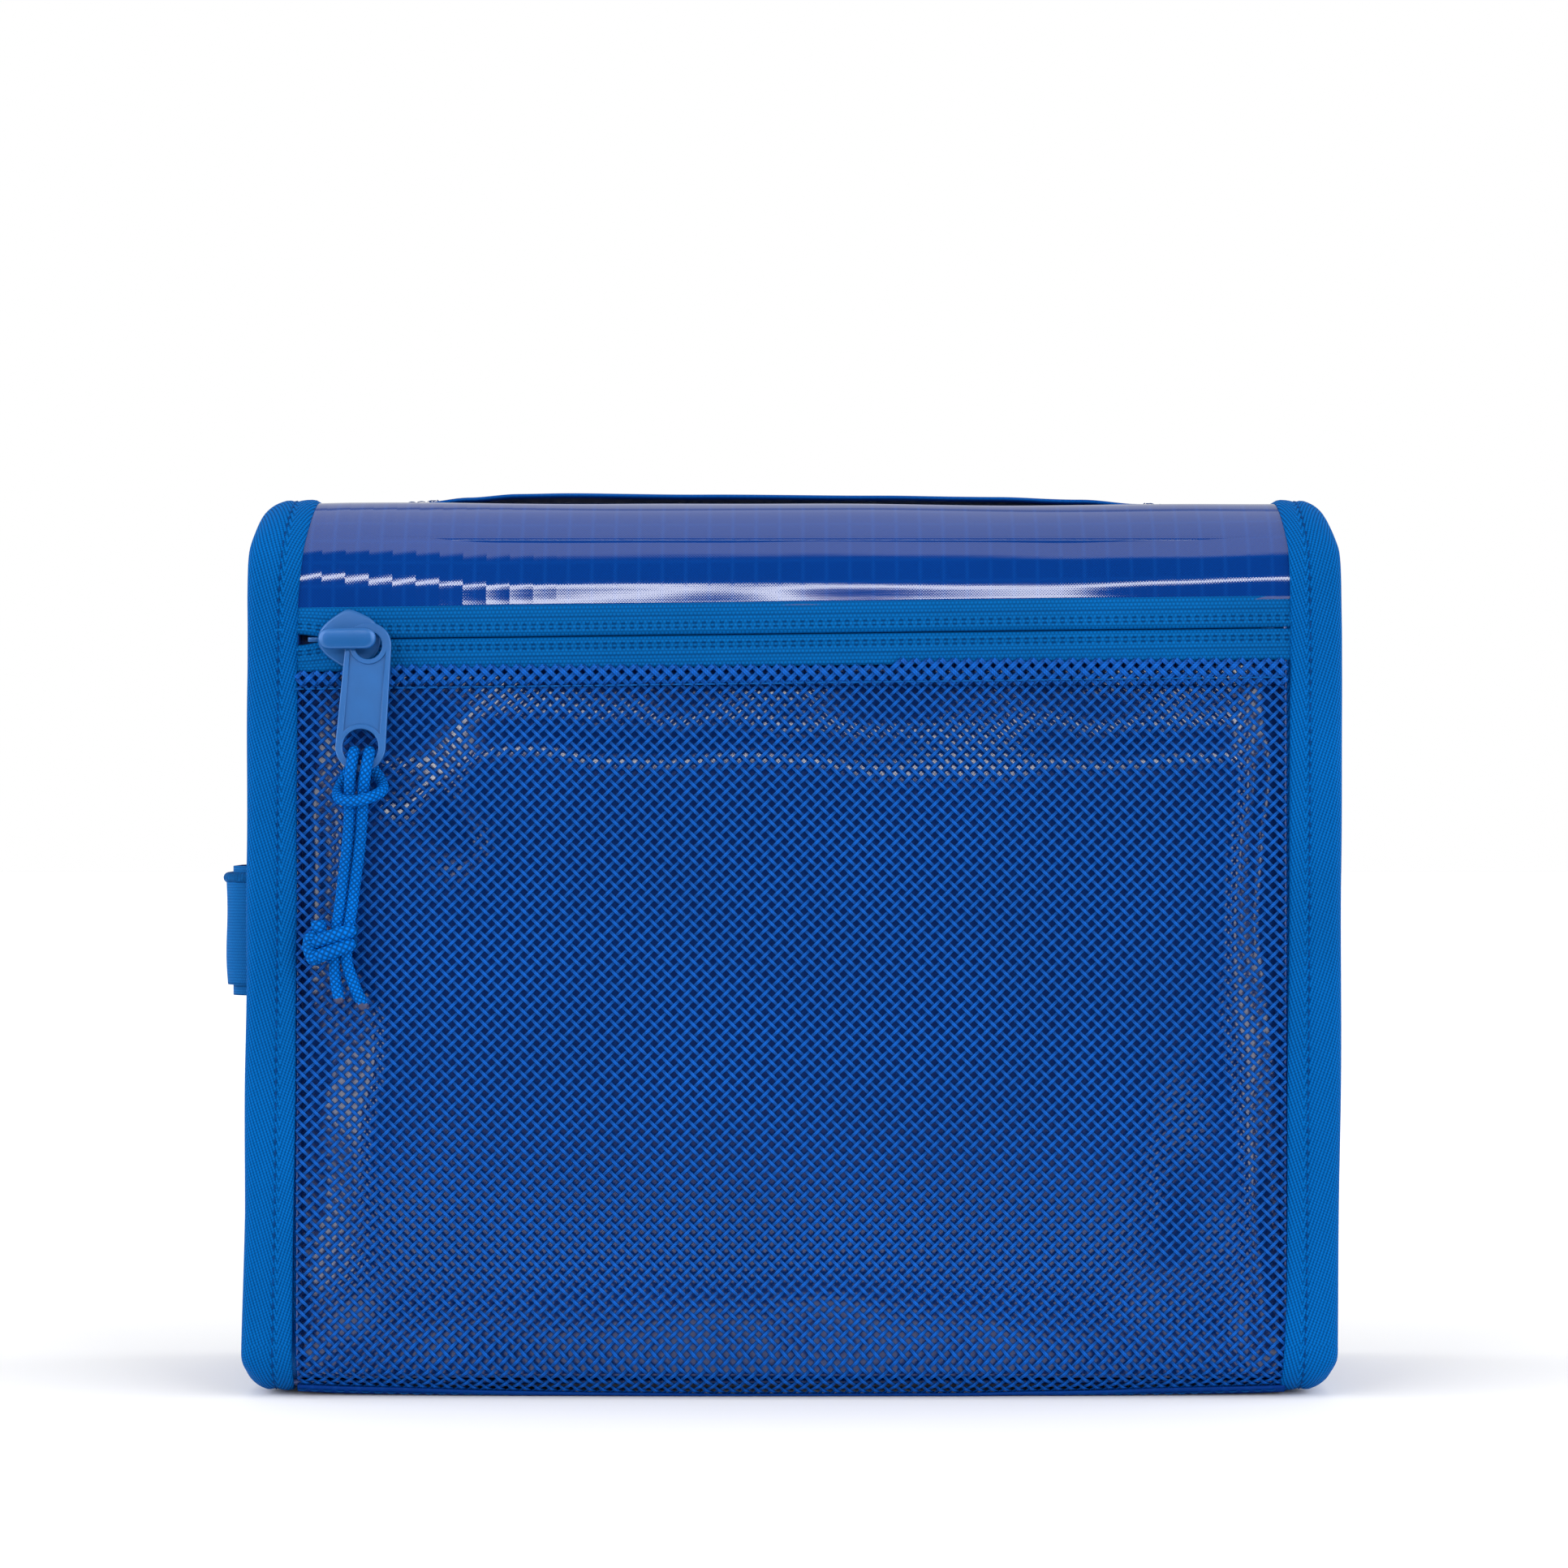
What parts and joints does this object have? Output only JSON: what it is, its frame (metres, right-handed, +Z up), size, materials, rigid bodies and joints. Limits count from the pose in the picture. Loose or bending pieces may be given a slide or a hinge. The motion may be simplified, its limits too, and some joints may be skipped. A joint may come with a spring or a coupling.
{
  "type": "packing cube",
  "caption": "Upright blue packing cube with a mesh zip pocket in front, a zipped back lid, bound side seams, a top webbing handle and a side loop",
  "frame": {"origin": "under the middle of the base, on the surface that the cube stands on", "axes": "+X to the right seen from the front, +Y to the back, +Z up; the mesh pocket faces -Y"},
  "size_m": [0.2656, 0.1028, 0.2143],
  "materials": {
    "coated_ripstop": "deep blue ripstop under a glossy clear coat",
    "diamond_mesh": "open diamond net of paired polyester threads",
    "twill_tape": "herringbone twill tape, matt",
    "zip_tape": "fine knitted tape with double stitch rows",
    "zip_coil": "dyed nylon coil",
    "webbing": "flat woven webbing",
    "elastic_band": "ribbed elastic",
    "painted_zinc": "satin blue paint on die-cast metal",
    "braided_cord": "round braid"
  },
  "bodies": {
    "bag": {"front_panel": "coated_ripstop", "top_panel": "coated_ripstop", "back_frame": "coated_ripstop", "base_panel": "coated_ripstop", "base_hem": "coated_ripstop", "left_gusset": "coated_ripstop", "right_gusset": "coated_ripstop", "left_binding": "twill_tape", "right_binding": "twill_tape", "mesh_panel": "diamond_mesh", "front_zip_upper_tape": "zip_tape", "front_zip_lower_tape": "zip_tape", "front_zip_upper_coil": "zip_coil", "front_zip_lower_coil": "zip_coil", "front_zip_stops": "zip_coil", "lid_zip_frame_tape": "zip_tape", "lid_zip_frame_coil": "zip_coil", "lid_zip_stops": "zip_coil", "lid_hinge_tape": "twill_tape", "carry_handle": "webbing", "handle_bartacks": "webbing", "side_loop": "elastic_band", "side_loop_patch": "elastic_band"},
    "back_lid": {"lid_panel": "coated_ripstop", "lid_zip_lid_tape": "zip_tape", "lid_zip_lid_coil": "zip_coil"},
    "front_slider": {"front_slider_body": "painted_zinc", "front_slider_crown": "painted_zinc"},
    "front_pull": {"front_pull_tab": "painted_zinc", "pull_cord_strands": "braided_cord", "pull_cord_hitch": "braided_cord", "pull_cord_knot": "braided_cord", "pull_cord_tails": "braided_cord"},
    "lid_slider": {"lid_slider_body": "painted_zinc", "lid_slider_crown": "painted_zinc"},
    "lid_pull": {"lid_pull_tab": "painted_zinc"}
  },
  "joints": [
    {"name": "front_slider_slide", "type": "slide", "parent": "bag", "child": "front_slider", "axis": [0.9999, 0, 0.0122], "range_m": [0, 0.205]},
    {"name": "front_pull_swing", "type": "hinge", "parent": "front_slider", "child": "front_pull", "pos_m": [-0.0987, -0.0447, 0.17624], "axis": [0, -1, 0], "range_deg": [-25, 110]},
    {"name": "lid_hinge", "type": "hinge", "parent": "bag", "child": "back_lid", "pos_m": [0, 0.0425, 0.05], "axis": [-1, 0, 0], "range_deg": [0, 90]},
    {"name": "lid_slider_slide", "type": "slide", "parent": "bag", "child": "lid_slider", "axis": [0, 0, 1], "range_m": [0, 0.1]},
    {"name": "lid_pull_swing", "type": "hinge", "parent": "lid_slider", "child": "lid_pull", "pos_m": [-0.1, 0.0447, 0.0349], "axis": [0, 1, 0], "range_deg": [-110, 110]}
  ]
}
